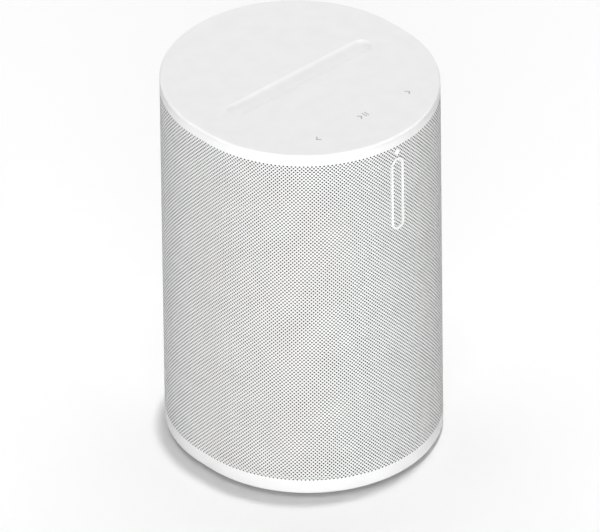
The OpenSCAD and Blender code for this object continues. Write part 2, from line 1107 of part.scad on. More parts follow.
module tweeter_surrounds() {
    outer_r = 11.8;
    color("black")
        for (side = [-1, 1])
            in_tweeter(side)
                ring(dome_r + 0.1, outer_r, [-1, -0.6]);
}

module tweeter_screws() {
    color("silver")
        for (side = [-1, 1])
            in_tweeter(side)
                at_tweeter_screws()
                    translate([0, 0, 2])
                        screw(2.2, 1.2, 1.05, 6);
}

// ---------- electronics ----------

// Board behind the woofer box, with its screw holes at the given heights
module board(z, screw_z) {
    half_w = 38;
    hole_r = 1.4;
    difference() {
        block([-half_w, half_w], board_y, z);
        for (x = [-1, 1], at_z = screw_z)
            rod_y(hole_r, board_y + [-1, 1], x * board_screw_x, at_z);
    }
}

module main_board() {
    color("darkgreen")
        board(main_board_z, [board_screw_z[2], board_screw_z[3]]);
}

module power_board() {
    color("darkgreen")
        board(power_board_z, [board_screw_z[0], board_screw_z[1]]);
}

module board_screws() {
    color("silver")
        for (x = [-1, 1], z = board_screw_z)
            translate([x * board_screw_x, board_y[1], z])
                rotate([-90, 0, 0])
                    screw(2.5, 1.4, 1.1, 6);
}

module processor_shield() {
    color("silver")
        block(shield_x, onwards(board_y[1], shield_t), shield_z);
}

module heat_sink() {
    base_y = board_y[1] + shield_t;
    base_t = 2;
    fins = 6;
    fin_t = 1.2;
    fin_h = 9;
    pitch = (shield_x[1] - shield_x[0] - fin_t) / (fins - 1);
    color("silver") {
        block(shield_x, onwards(base_y, base_t), shield_z);
        for (i = [0 : fins - 1])
            block(
                onwards(shield_x[0] + i * pitch, fin_t),
                onwards(base_y + base_t - eps, fin_h + eps), shield_z
            );
    }
}

module transformer() {
    h = 13;
    cap_h = 1.5;
    z = [27, 46];
    color("goldenrod")
        block([-31, -13], onwards(board_y[1], h), z);
    color("gray")
        block([-27, -17], onwards(board_y[1] + h - eps, cap_h), z);
}

module capacitor() {
    r = 6.3;
    length = 19;
    color("black")
        translate([12, board_y[1] + r, 58])
            rotate([0, 90, 0])
                cylinder(r = r, h = length);
}

module choke() {
    t = 8;
    color("goldenrod")
        translate([24, board_y[1] + t, 33])
            rotate([90, 0, 0])
                ring(4.5, 9, [0, t]);
}

module woofer_leads() {
    color("crimson")
        for (side = [-1, 1])
            lead([
                [side * 36, board_y[1] + lead_r, 110], [side * 39.5, board_y[1] + lead_r, 110],
                [side * 42, board_y[1] - 2, 110], [side * 42, 12, 110], [side * 40, -4, 100],
                [side * 31, -6, 91], [side * 26, -8, 87.6], [side * 25.8, -11.9, 87.5]
            ], lead_r);
}

module tweeter_leads() {
    end_r = tweeter_reach - 14;
    end_x = end_r * sin(tweeter_splay);
    end_y = -flat / 2 - end_r * cos(tweeter_splay) + lead_r + 2;
    color("crimson")
        for (side = [-1, 1])
            lead([
                [side * 8, board_y[1] + lead_r, 128], [side * 8, board_y[1] + lead_r, 132],
                [side * 8, 26, 136], [side * 8, 4, 138], [side * end_x, end_y, 144]
            ], lead_r);
}

module touch_flex() {
    t = 0.3;
    w = 10;
    y = board_y[1];
    up_y = 40;
    bend_z = [128, 136];
    front = [[up_y, touch_board_z[0]], [up_y, bend_z[1]], [y + t, bend_z[0]], [y + t, 123]];
    back = [[y, 123], [y, bend_z[0]], [up_y - t, bend_z[1]], [up_y - t, touch_board_z[0]]];
    color("orange")
        translate([-w / 2, 0, 0])
            rotate([90, 0, 90])
                linear_extrude(w)
                    polygon(concat(front, back));
}

top_cap();
touch_icons();
badge_ring();
status_light_pipe();
grille_sleeve();
grille_liner();
base_tray();
foot_ring();
base_screws();
rear_panel();
pair_button();
mic_switch();
usb_c_shell();
usb_c_tongue();
power_inlet();
power_pins();
io_board();
tact_switch();
slide_switch();
top_frame();
touch_board();
microphones();
antennas();
woofer_box_front();
woofer_box_rear();
woofer_box_seal();
woofer_box_screws();
damping_pad();
woofer_basket();
woofer_gasket();
woofer_surround();
woofer_cone();
woofer_dust_cap();
woofer_spider();
woofer_voice_coil();
woofer_top_plate();
woofer_magnet();
woofer_yoke();
woofer_screws();
woofer_terminals();
tweeter_carrier();
tweeter_left_waveguide();
tweeter_left_dome();
tweeter_left_motor();
tweeter_right_waveguide();
tweeter_right_dome();
tweeter_right_motor();
tweeter_surrounds();
tweeter_screws();
main_board();
processor_shield();
heat_sink();
power_board();
transformer();
capacitor();
choke();
board_screws();
woofer_leads();
tweeter_leads();
touch_flex();
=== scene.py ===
"""Looks of the smart speaker: perforated sleeve, touch panel with a volume trough, soft studio light."""

import json
import math

import bmesh
import bpy
from mathutils import Matrix, Vector
from mathutils.noise import noise as noise_at


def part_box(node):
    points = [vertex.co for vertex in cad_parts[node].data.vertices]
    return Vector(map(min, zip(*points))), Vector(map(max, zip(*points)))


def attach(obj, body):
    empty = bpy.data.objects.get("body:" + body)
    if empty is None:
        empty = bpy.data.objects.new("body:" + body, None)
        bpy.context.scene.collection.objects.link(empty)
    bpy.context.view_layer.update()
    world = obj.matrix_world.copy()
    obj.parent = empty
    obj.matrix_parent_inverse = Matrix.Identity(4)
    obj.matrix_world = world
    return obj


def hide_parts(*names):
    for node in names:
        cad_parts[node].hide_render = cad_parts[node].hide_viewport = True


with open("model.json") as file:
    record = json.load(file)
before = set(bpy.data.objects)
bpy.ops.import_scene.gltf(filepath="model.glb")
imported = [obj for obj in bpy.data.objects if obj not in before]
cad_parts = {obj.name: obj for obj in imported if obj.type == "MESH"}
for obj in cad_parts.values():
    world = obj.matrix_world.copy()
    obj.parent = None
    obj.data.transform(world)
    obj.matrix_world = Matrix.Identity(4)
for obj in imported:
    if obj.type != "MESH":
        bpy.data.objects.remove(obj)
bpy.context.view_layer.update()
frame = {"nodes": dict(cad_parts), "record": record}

MM = 0.001

# ---------- sizes read from the frame ----------

sleeve_low, sleeve_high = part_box("grille_sleeve")
cap_low, cap_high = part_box("top_cap")
panel_low, panel_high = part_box("rear_panel")
liner_low, liner_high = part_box("grille_liner")
pipe_low, pipe_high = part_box("status_light_pipe")
pad_low, pad_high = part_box("damping_pad")

BODY_R = sleeve_high.x
HALF_FLAT = sleeve_high.y - BODY_R
TOP_Z = cap_high.z
SEAM_Z = sleeve_high.z
SHELL_Z = sleeve_low.z
PERIMETER = 2 * math.pi * BODY_R + 4 * HALF_FLAT

# ---------- sizes of the details ----------

# Sleeve wall, the lip under it, its lower edge, the cap's rim and thickness.
WALL = 1.6 * MM
LIP_W = 4 * MM
LIP_T = 2 * MM
LOWER_EDGE_R = 2 * MM
RIM_R = 0.9 * MM
CAP_T = 3.4 * MM
SEAM_CHAMFER = 0.08 * MM
CAP_SEAM_CHAMFER = 0.12 * MM
CAP_SKIRT_H = 6 * MM
CAP_SKIRT_T = 1.5 * MM
CAP_SKIRT_GAP = 0.2 * MM

# Punched field: columns round the sleeve, strips that it is built in, and the holes. SKIN is the visible
# thickness of the sleeve at its holes.
COLUMNS = 216
SECTORS = 8
ROW_PITCH = 0.952 * MM
HOLE_R = 0.46 * MM
HOLE_SIDES = 8
SKIN = 0.5 * MM
TOP_BAND = 5.4 * MM
BOTTOM_BAND = 6.8 * MM
PANEL_MARGIN = 1.1 * MM
PANEL_CUT_DEPTH = 12 * MM
PEG_CLEARANCE = 0.05 * MM
PEG_DEPTH = 3 * MM

TROUGH_L = 84 * MM
TROUGH_W = 10.2 * MM
TROUGH_R = 10 * MM
TROUGH_EDGE_R = 0.4 * MM
# Above 1. The higher it is, the more of the outline's points go to the trough's two round ends.
END_POINTS = 1.6
ICON_PROUD = 0.02 * MM
FACE_Z = TOP_Z - ICON_PROUD

LINER_T = 0.4 * MM
LINER_MARGIN = 4 * MM
LINER_ROWS = 40
PAD_EDGE_R = 4 * MM
PAD_LUMP = 0.5 * MM
PAD_CUTS = 30

# Distances below which points are one point, or a height is the top face's own.
WELD = 0.002 * MM
SAME_PLACE = 0.001 * MM


# ---------- the body's plan ----------

def plan_point(along, radius):
    """Point and outward direction at a distance along the body's outline, counted on the outer surface
    from the middle of the rear, towards -X."""
    quarter = math.pi / 2 * BODY_R
    along = along % PERIMETER
    side = 2 * HALF_FLAT
    if along < quarter:
        turn, centre_y, slide = along / BODY_R, HALF_FLAT, 0.0
    elif along < quarter + side:
        turn, centre_y, slide = math.pi / 2, HALF_FLAT, along - quarter
    elif along < 3 * quarter + side:
        turn, centre_y, slide = (along - side) / BODY_R, -HALF_FLAT, 0.0
    elif along < 3 * quarter + 2 * side:
        turn, centre_y, slide = 3 * math.pi / 2, -HALF_FLAT, -(along - 3 * quarter - side)
    else:
        turn, centre_y, slide = (along - 2 * side) / BODY_R, HALF_FLAT, 0.0
    out = Vector((-math.sin(turn), math.cos(turn), 0))
    return Vector((radius * out.x, centre_y - slide + radius * out.y, 0)), out


def link(name, mesh, body="root", replaced=()):
    """Makes an object of a mesh, riding on a body."""
    piece = bpy.data.objects.new(name, mesh)
    bpy.context.scene.collection.objects.link(piece)
    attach(piece, body)
    if replaced:
        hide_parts(*replaced)
    return piece


def smooth(mesh, degrees=35):
    """Smooth shading, with edges sharper than the given angle kept crisp."""
    mesh.polygons.foreach_set("use_smooth", [True] * len(mesh.polygons))
    mesh.set_sharp_from_angle(angle=math.radians(degrees))
    mesh.update()
    return mesh


def swept_mesh(name, profile, stations):
    """Carries a closed profile of (inset, height) pairs round the body's outline. Inset is measured inwards
    from the outer surface."""
    verts, faces = [], []
    count = len(profile)
    for along in stations:
        for inset, height in profile:
            place, _ = plan_point(along, BODY_R - inset)
            verts.append((place.x, place.y, height))
    for i in range(len(stations)):
        after = (i + 1) % len(stations)
        for k in range(count):
            k2 = (k + 1) % count
            faces.append((i * count + k, i * count + k2, after * count + k2, after * count + k))
    mesh = bpy.data.meshes.new(name)
    mesh.from_pydata(verts, [], faces)
    mesh.update()
    return mesh


def face_outwards(mesh):
    """Turns every face of a closed mesh outwards."""
    made = bmesh.new()
    made.from_mesh(mesh)
    bmesh.ops.recalc_face_normals(made, faces=made.faces)
    made.to_mesh(mesh)
    made.free()
    return mesh


def arc(centre, radius, start, end, steps):
    """Points on an arc, in degrees from start to end."""
    return [
        (
            centre[0] + radius * math.cos(math.radians(start + (end - start) * i / steps)),
            centre[1] + radius * math.sin(math.radians(start + (end - start) * i / steps)),
        )
        for i in range(steps + 1)
    ]


# ---------- perforated sleeve ----------

HALF_PITCH = PERIMETER / (2 * COLUMNS)
first_row_z = SHELL_Z + BOTTOM_BAND + HOLE_R
last_row_z = TOP_Z - TOP_BAND - HOLE_R
ROWS = int((last_row_z - first_row_z) / ROW_PITCH) + 1
lattice_z = last_row_z - (ROWS - 1) * ROW_PITCH
field_low = lattice_z - ROW_PITCH
field_high = last_row_z + ROW_PITCH

panel_mid_z = (panel_low.z + panel_high.z) / 2
panel_half_w = 11 * MM
panel_half_h = 34 * MM
light_r = pipe_high.x
light_z = pipe_low.z + light_r


def near_oblong(across, height, half_w, half_h):
    """Distance from an upright oblong's outline, negative inside."""
    reach = half_h - half_w
    return math.hypot(across, max(abs(height) - reach, 0)) - half_w


def is_plain(i, j):
    """True where the sleeve keeps a solid patch: round the rear panel and the status light."""
    across = (i * HALF_PITCH + PERIMETER / 2) % PERIMETER - PERIMETER / 2
    height = lattice_z + j * ROW_PITCH
    if near_oblong(across, height - panel_mid_z, panel_half_w, panel_half_h) < PANEL_MARGIN:
        return True
    front = abs(across) - PERIMETER / 2
    return math.hypot(front, height - light_z) < light_r + HOLE_R


def sector_mesh(sector):
    """One upright strip of the sleeve. Grid nodes lie half a pitch apart: those with an odd sum of indices
    are holes, and the others are the corners of the cells round them. Hole walls take the second material,
    which paints shade into the holes."""
    per_sector = COLUMNS // SECTORS
    first = sector * per_sector - per_sector // 2
    holes = [
        (2 * (first + c) + (1 if j % 2 == 0 else 0), j)
        for j in range(ROWS)
        for c in range(per_sector)
    ]
    verts, ids, faces = [], {}, []

    def vertex(key, along, height):
        if key not in ids:
            ids[key] = len(verts)
            for radius in (BODY_R, BODY_R - SKIN):
                place, _ = plan_point(along, radius)
                verts.append((place.x, place.y, height))
        return ids[key]

    def corner(i, j):
        return vertex((i, j), i * HALF_PITCH, lattice_z + j * ROW_PITCH)

    def both_sides(a, b, c):
        faces.append((a, b, c))
        faces.append((c + 1, b + 1, a + 1))
        outer.append((a, b, c))

    outer, hole_walls = [], []
    for i, j in holes:
        around = [corner(i + 1, j), corner(i, j + 1), corner(i - 1, j), corner(i, j - 1)]
        if is_plain(i, j):
            both_sides(around[0], around[2], around[1])
            both_sides(around[0], around[3], around[2])
            continue
        rim = []
        for k in range(HOLE_SIDES):
            turn = 2 * math.pi * k / HOLE_SIDES
            rim.append(
                vertex(
                    (i, j, k),
                    i * HALF_PITCH + HOLE_R * math.cos(turn),
                    lattice_z + j * ROW_PITCH + HOLE_R * math.sin(turn),
                )
            )
        for side in range(4):
            here, ahead = around[side], around[(side + 1) % 4]
            r0, r1, r2 = (rim[(2 * side + n) % HOLE_SIDES] for n in range(3))
            both_sides(here, r0, r1)
            both_sides(here, r1, ahead)
            both_sides(ahead, r1, r2)
        for k in range(HOLE_SIDES):
            a, b = rim[k], rim[(k + 1) % HOLE_SIDES]
            hole_walls.append(len(faces))
            faces.append((a, a + 1, b + 1, b))
    for i, j in holes:
        for edge_j, step in ((0, -1), (ROWS - 1, 1)):
            if j == edge_j:
                a, b, c = corner(i, j + step), corner(i + 2, j + step), corner(i + 1, j)
                both_sides(*((a, c, b) if step < 0 else (a, b, c)))
    edges = {}
    for face in outer:
        for n in range(3):
            a, b = face[n], face[(n + 1) % 3]
            edges[(a, b)] = edges.get((a, b), 0) + 1
    holes_rims = {ids[key] for key in ids if len(key) == 3}
    for a, b in edges:
        if (b, a) not in edges and not (a in holes_rims and b in holes_rims):
            faces.append((b, b + 1, a + 1, a))
    mesh = bpy.data.meshes.new(f"sleeve_sector_{sector + 1}")
    mesh.from_pydata(verts, [], faces)
    mesh.update()
    for k in hole_walls:
        mesh.polygons[k].material_index = 1
    return face_outwards(mesh)


def cut_with(piece, cutter):
    """Cuts one closed mesh out of another, and applies the result."""
    change = piece.modifiers.new("cut", "BOOLEAN")
    change.operation = "DIFFERENCE"
    change.solver = "EXACT"
    change.object = cutter
    bpy.context.view_layer.update()
    graph = bpy.context.evaluated_depsgraph_get()
    result = bpy.data.meshes.new_from_object(piece.evaluated_get(graph))
    piece.modifiers.clear()
    piece.data = result


def solid_copy(node):
    """Copy of a CAD node's mesh with its seams joined, for use as a cutter."""
    made = bmesh.new()
    made.from_mesh(frame["nodes"][node].data)
    bmesh.ops.remove_doubles(made, verts=made.verts, dist=SAME_PLACE)
    bmesh.ops.recalc_face_normals(made, faces=made.faces)
    mesh = bpy.data.meshes.new(f"{node}_cutter")
    made.to_mesh(mesh)
    made.free()
    cutter = bpy.data.objects.new(f"{node}_cutter", mesh)
    bpy.context.scene.collection.objects.link(cutter)
    return cutter


def oblong_prism(name, half_w, half_h, low_y, high_y, middle_z):
    """Upright oblong block along Y."""
    reach = half_h - half_w
    outline = [(x, z + reach) for x, z in arc((0, 0), half_w, 0, 180, 32)]
    outline += [(x, z - reach) for x, z in arc((0, 0), half_w, 180, 360, 32)]
    made = bmesh.new()
    near = [made.verts.new((x, low_y, middle_z + z)) for x, z in outline]
    far = [made.verts.new((x, high_y, middle_z + z)) for x, z in outline]
    made.faces.new(near)
    made.faces.new(far[::-1])
    for k in range(len(outline)):
        k2 = (k + 1) % len(outline)
        made.faces.new((near[k], far[k], far[k2], near[k2]))
    bmesh.ops.recalc_face_normals(made, faces=made.faces)
    mesh = bpy.data.meshes.new(name)
    made.to_mesh(mesh)
    made.free()
    return bpy.data.objects.new(name, mesh)


def make_sleeve(material, hole_shade_paint):
    """Both bands and the punched strips between them, with the rear opening and the light's hole."""
    odd = [(2 * i + 1) * HALF_PITCH for i in range(COLUMNS)]
    even = [2 * i * HALF_PITCH for i in range(COLUMNS)]
    top = [
        (0, field_high), (0, SEAM_Z - SEAM_CHAMFER), (SEAM_CHAMFER, SEAM_Z),
        (WALL, SEAM_Z), (WALL, field_high),
    ]
    corner = (LOWER_EDGE_R, SHELL_Z + LOWER_EDGE_R)
    bottom = [(LIP_W, SHELL_Z)] + arc(corner, LOWER_EDGE_R, 270, 180, 10) + [
        (0, field_low), (WALL, field_low), (WALL, SHELL_Z + LIP_T), (LIP_W, SHELL_Z + LIP_T),
    ]
    bands = (
        ("sleeve_top_band", top, odd if ROWS % 2 else even),
        ("sleeve_lower_band", bottom, odd),
    )
    pieces = [
        link(name, face_outwards(swept_mesh(name, profile, stations)))
        for name, profile, stations in bands
    ]
    rear_y = HALF_FLAT + BODY_R
    cutter = oblong_prism(
        "panel_cutter", panel_half_w, panel_half_h, rear_y - PANEL_CUT_DEPTH, rear_y + MM, panel_mid_z
    )
    peg_r = light_r + PEG_CLEARANCE
    peg = oblong_prism("peg", peg_r, peg_r, sleeve_low.y - MM, sleeve_low.y + PEG_DEPTH, light_z)
    bpy.context.scene.collection.objects.link(cutter)
    bpy.context.scene.collection.objects.link(peg)
    for sector in range(SECTORS):
        piece = link(f"sleeve_sector_{sector + 1}", sector_mesh(sector))
        piece.data.materials.append(material)
        # Second slot: painted shade on the walls of the holes.
        piece.data.materials.append(hole_shade_paint)
        if sector == 0:
            cut_with(piece, cutter)
        if sector == SECTORS // 2:
            cut_with(piece, peg)
        pieces.append(piece)
    bpy.data.objects.remove(cutter)
    bpy.data.objects.remove(peg)
    for piece in pieces:
        smooth(piece.data)
        if not piece.data.materials:
            piece.data.materials.append(material)
    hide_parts("grille_sleeve")
    return pieces


# ---------- top cap ----------

def trough_profile():
    """(distance from the trough's middle line, height) pairs, from the bottom to the flat top face."""
    lift = math.sqrt(TROUGH_R ** 2 - (TROUGH_W / 2) ** 2)
    edge_d = math.sqrt((TROUGH_R + TROUGH_EDGE_R) ** 2 - (lift + TROUGH_EDGE_R) ** 2)
    swing = math.degrees(math.atan2(edge_d, lift + TROUGH_EDGE_R))
    bowl = [(x, FACE_Z + lift + z) for x, z in arc((0, 0), TROUGH_R, 270, 270 + swing, 12)]
    edge = arc((edge_d, FACE_Z - TROUGH_EDGE_R), TROUGH_EDGE_R, 90 + swing, 90, 6)
    return bowl + edge[1:]


def capsule_point(share, offset):
    """Point at a share of the way round a line along X, offset outwards by a distance."""
    reach = (TROUGH_L - TROUGH_W) / 2
    turn = 2 * math.pi * share
    middle = reach * max(-1.0, min(1.0, END_POINTS * math.cos(turn)))
    if abs(END_POINTS * math.cos(turn)) >= 1:
        end = 1 if math.cos(turn) > 0 else -1
        limit = math.acos(1 / END_POINTS)
        local = turn if turn <= math.pi else turn - 2 * math.pi
        if end > 0:
            swing = local / limit * math.pi / 2
        else:
            swing = math.pi - (math.pi - abs(local)) / limit * math.pi / 2
        if end < 0 and local < 0:
            swing = -swing
        return middle + offset * math.cos(swing), offset * math.sin(swing)
    return middle, math.copysign(offset, math.sin(turn))


def make_top_cap(material):
    """Touch panel: rings of points from the trough's bottom, over the rim, to the skirt inside the sleeve."""
    count = 2 * COLUMNS
    rings = []
    for offset, height in trough_profile():
        rings.append([(*capsule_point(k / count, offset), height) for k in range(count)])
    outer = [(RIM_R, FACE_Z)]
    outer += [(RIM_R - x, FACE_Z - RIM_R + z) for x, z in arc((0, 0), RIM_R, 90, 0, 10)][1:]
    skirt_out = WALL + CAP_SKIRT_GAP
    skirt_in = skirt_out + CAP_SKIRT_T
    skirt_z = TOP_Z - CAP_SKIRT_H
    outer += [(0, SEAM_Z + CAP_SEAM_CHAMFER), (CAP_SEAM_CHAMFER, SEAM_Z), (skirt_out, SEAM_Z)]
    outer += [(skirt_out, skirt_z), (skirt_in, skirt_z), (skirt_in, TOP_Z - CAP_T)]
    quarter = PERIMETER * 0.75
    for inset, height in outer:
        ring = []
        for k in range(count):
            place, _ = plan_point(quarter + PERIMETER * k / count, BODY_R - inset)
            ring.append((place.x, place.y, height))
        rings.append(ring)
    verts = [v for ring in rings for v in ring]
    faces = []
    for r in range(len(rings) - 1):
        for k in range(count):
            k2 = (k + 1) % count
            faces.append((r * count + k, (r + 1) * count + k, (r + 1) * count + k2, r * count + k2))
    faces.append(tuple((len(rings) - 1) * count + k for k in range(count)))
    mesh = bpy.data.meshes.new("top_shell")
    mesh.from_pydata(verts, [], faces)
    made = bmesh.new()
    made.from_mesh(mesh)
    bmesh.ops.remove_doubles(made, verts=made.verts, dist=WELD)
    bmesh.ops.dissolve_degenerate(made, edges=made.edges, dist=WELD)
    bmesh.ops.recalc_face_normals(made, faces=made.faces)
    made.to_mesh(mesh)
    made.free()
    shell = link("top_shell", mesh, replaced=("top_cap",))
    cutter = solid_copy("touch_icons")
    cut_with(shell, cutter)
    bpy.data.objects.remove(cutter)
    smooth(shell.data)
    for polygon in shell.data.polygons:
        if all(abs(shell.data.vertices[v].co.z - FACE_Z) < SAME_PLACE for v in polygon.vertices):
            polygon.use_smooth = False
    shell.data.materials.clear()
    shell.data.materials.append(material)
    return shell


# ---------- soft pieces ----------

def make_liner(material):
    """Dark acoustic cloth, stretched round the inside of the sleeve, with an opening for the rear panel."""
    inset = BODY_R - liner_high.x
    height = liner_high.z - liner_low.z
    heights = [liner_low.z + height * k / LINER_ROWS for k in range(LINER_ROWS + 1)]
    profile = [(inset, z) for z in heights] + [(inset + LINER_T, z) for z in reversed(heights)]
    stations = [2 * i * HALF_PITCH for i in range(COLUMNS)]
    cloth = face_outwards(swept_mesh("acoustic_cloth", profile, stations))
    liner = link("acoustic_cloth", cloth)
    half_w, half_h = panel_half_w + LINER_MARGIN, panel_half_h + LINER_MARGIN
    cutter = oblong_prism("cloth_cutter", half_w, half_h, 40 * MM, 70 * MM, panel_mid_z)
    bpy.context.scene.collection.objects.link(cutter)
    cut_with(liner, cutter)
    bpy.data.objects.remove(cutter)
    smooth(liner.data)
    liner.data.materials.clear()
    liner.data.materials.append(material)
    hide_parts("grille_liner")
    return liner


def make_damping_pad(material):
    """Open foam wadding in the top of the woofer box: a lumpy block with rounded edges."""
    middle = (pad_low + pad_high) / 2
    half = (pad_high - pad_low) / 2
    made = bmesh.new()
    bmesh.ops.create_cube(made, size=2)
    bmesh.ops.subdivide_edges(made, edges=made.edges, cuts=PAD_CUTS, use_grid_fill=True)
    for vert in made.verts:
        place = Vector(a * b for a, b in zip(vert.co, half))
        core = Vector(max(-h + PAD_EDGE_R, min(h - PAD_EDGE_R, c)) for c, h in zip(place, half))
        out = (place - core).normalized() if (place - core).length > 0 else Vector()
        lump = (noise_at(place * 180) + 0.5 * noise_at(place * 700)) * PAD_LUMP
        vert.co = middle + core + out * (PAD_EDGE_R - PAD_LUMP * 1.5 + lump)
    mesh = bpy.data.meshes.new("foam_wadding")
    made.to_mesh(mesh)
    made.free()
    mesh.materials.append(material)
    pad = link("foam_wadding", smooth(mesh, 60), replaced=("damping_pad",))
    return pad


# ---------- materials ----------

# Range of a noise factor that is spread over a material's two values.
FACTOR_LOW, FACTOR_HIGH = 0.3, 0.7

def new_material(name):
    """A node material, with its tree and its shader."""
    material = bpy.data.materials.new(name)
    material.use_nodes = True
    tree = material.node_tree
    return material, tree, tree.nodes["Principled BSDF"]


def noise(tree, scale, detail=2.0, stretch=None):
    """Noise over the piece's own coordinates, in features per metre."""
    coordinates = tree.nodes.new("ShaderNodeTexCoord")
    texture = tree.nodes.new("ShaderNodeTexNoise")
    texture.inputs["Scale"].default_value = scale
    texture.inputs["Detail"].default_value = detail
    source = coordinates.outputs["Object"]
    if stretch:
        mapping = tree.nodes.new("ShaderNodeMapping")
        mapping.inputs["Scale"].default_value = stretch
        tree.links.new(source, mapping.inputs["Vector"])
        source = mapping.outputs["Vector"]
    tree.links.new(source, texture.inputs["Vector"])
    return texture.outputs["Fac"]


def spread(tree, factor, low, high, target):
    """Maps a 0 to 1 factor between two numbers or two colours, and links it to a socket."""
    if isinstance(low, (int, float)):
        node = tree.nodes.new("ShaderNodeMapRange")
        node.inputs["From Min"].default_value = FACTOR_LOW
        node.inputs["From Max"].default_value = FACTOR_HIGH
        node.inputs["To Min"].default_value = low
        node.inputs["To Max"].default_value = high
        tree.links.new(factor, node.inputs["Value"])
        tree.links.new(node.outputs["Result"], target)
    else:
        node = tree.nodes.new("ShaderNodeValToRGB")
        node.color_ramp.elements[0].position = FACTOR_LOW
        node.color_ramp.elements[1].position = FACTOR_HIGH
        node.color_ramp.elements[0].color = (*low, 1)
        node.color_ramp.elements[1].color = (*high, 1)
        tree.links.new(factor, node.inputs["Fac"])
        tree.links.new(node.outputs["Color"], target)


def bump(tree, shader, height, strength, distance):
    """Lets a height factor tilt the shader's normal."""
    node = tree.nodes.new("ShaderNodeBump")
    node.inputs["Strength"].default_value = strength
    node.inputs["Distance"].default_value = distance
    tree.links.new(height, node.inputs["Height"])
    tree.links.new(node.outputs["Normal"], shader.inputs["Normal"])


def grey(value, tint=0.0):
    """A grey, or a slightly blue one."""
    return (value, value, value * (1 + tint))


def plastic(name, low, high, roughness, grain=7000, depth=0.02 * MM, strength=0.25):
    """Moulded plastic: faint mottling, uneven gloss and a fine spark-eroded grain."""
    material, tree, shader = new_material(name)
    spread(tree, noise(tree, 120, 3), low, high, shader.inputs["Base Color"])
    spread(tree, noise(tree, 900, 3), roughness - 0.04, roughness + 0.05, shader.inputs["Roughness"])
    bump(tree, shader, noise(tree, grain, 3), strength, depth)
    shader.inputs["Specular IOR Level"].default_value = 0.35
    return material


def sleeve_plastic(name, low, high, roughness):
    """The perforated sleeve's plastic: its detail is its holes, so only a faint mottling is added."""
    material, tree, shader = new_material(name)
    spread(tree, noise(tree, 90, 2), low, high, shader.inputs["Base Color"])
    spread(tree, noise(tree, 600, 2), roughness - 0.03, roughness + 0.04, shader.inputs["Roughness"])
    shader.inputs["Specular IOR Level"].default_value = 0.3
    return material


def metal(name, low, high, roughness, stretch=(60, 60, 2500)):
    """Drawn or turned metal, with fine lines along one direction."""
    material, tree, shader = new_material(name)
    lines = noise(tree, 1.0, 4, stretch)
    spread(tree, lines, low, high, shader.inputs["Base Color"])
    spread(tree, noise(tree, 700, 3), roughness - 0.06, roughness + 0.08, shader.inputs["Roughness"])
    bump(tree, shader, lines, 0.15, 0.01 * MM)
    shader.inputs["Metallic"].default_value = 1.0
    return material


def rubber(name, low, high):
    """Matte rubber, silicone or foam, with a coarse grain."""
    material, tree, shader = new_material(name)
    spread(tree, noise(tree, 260, 4), low, high, shader.inputs["Base Color"])
    spread(tree, noise(tree, 1500, 3), 0.62, 0.82, shader.inputs["Roughness"])
    bump(tree, shader, noise(tree, 5200, 3), 0.3, 0.03 * MM)
    return material


def weave(name, low, high, threads):
    """Woven cloth: two sets of threads crossing, with uneven shade."""
    material, tree, shader = new_material(name)
    coordinates = tree.nodes.new("ShaderNodeTexCoord")
    crossings = []
    for direction in ("X", "Z"):
        wave = tree.nodes.new("ShaderNodeTexWave")
        wave.bands_direction = direction
        wave.inputs["Scale"].default_value = threads / 20
        wave.inputs["Distortion"].default_value = 0.6
        wave.inputs["Detail"].default_value = 1.0
        tree.links.new(coordinates.outputs["Object"], wave.inputs["Vector"])
        crossings.append(wave.outputs["Fac"])
    both = tree.nodes.new("ShaderNodeMath")
    both.operation = "MULTIPLY"
    tree.links.new(crossings[0], both.inputs[0])
    tree.links.new(crossings[1], both.inputs[1])
    spread(tree, both.outputs[0], low, high, shader.inputs["Base Color"])
    bump(tree, shader, both.outputs[0], 0.6, 0.08 * MM)
    shader.inputs["Roughness"].default_value = 0.9
    shader.inputs["Sheen Weight"].default_value = 0.2
    return material


def circuit_board(name):
    """Solder mask over copper: blocky traces a shade lighter than the ground."""
    material, tree, shader = new_material(name)
    coordinates = tree.nodes.new("ShaderNodeTexCoord")
    cells = tree.nodes.new("ShaderNodeTexVoronoi")
    cells.distance = "CHEBYCHEV"
    cells.inputs["Scale"].default_value = 420
    tree.links.new(coordinates.outputs["Object"], cells.inputs["Vector"])
    traces = cells.outputs["Distance"]
    spread(tree, traces, (0.012, 0.10, 0.045), (0.03, 0.19, 0.09), shader.inputs["Base Color"])
    bump(tree, shader, traces, 0.2, 0.03 * MM)
    spread(tree, noise(tree, 800, 2), 0.28, 0.42, shader.inputs["Roughness"])
    return material


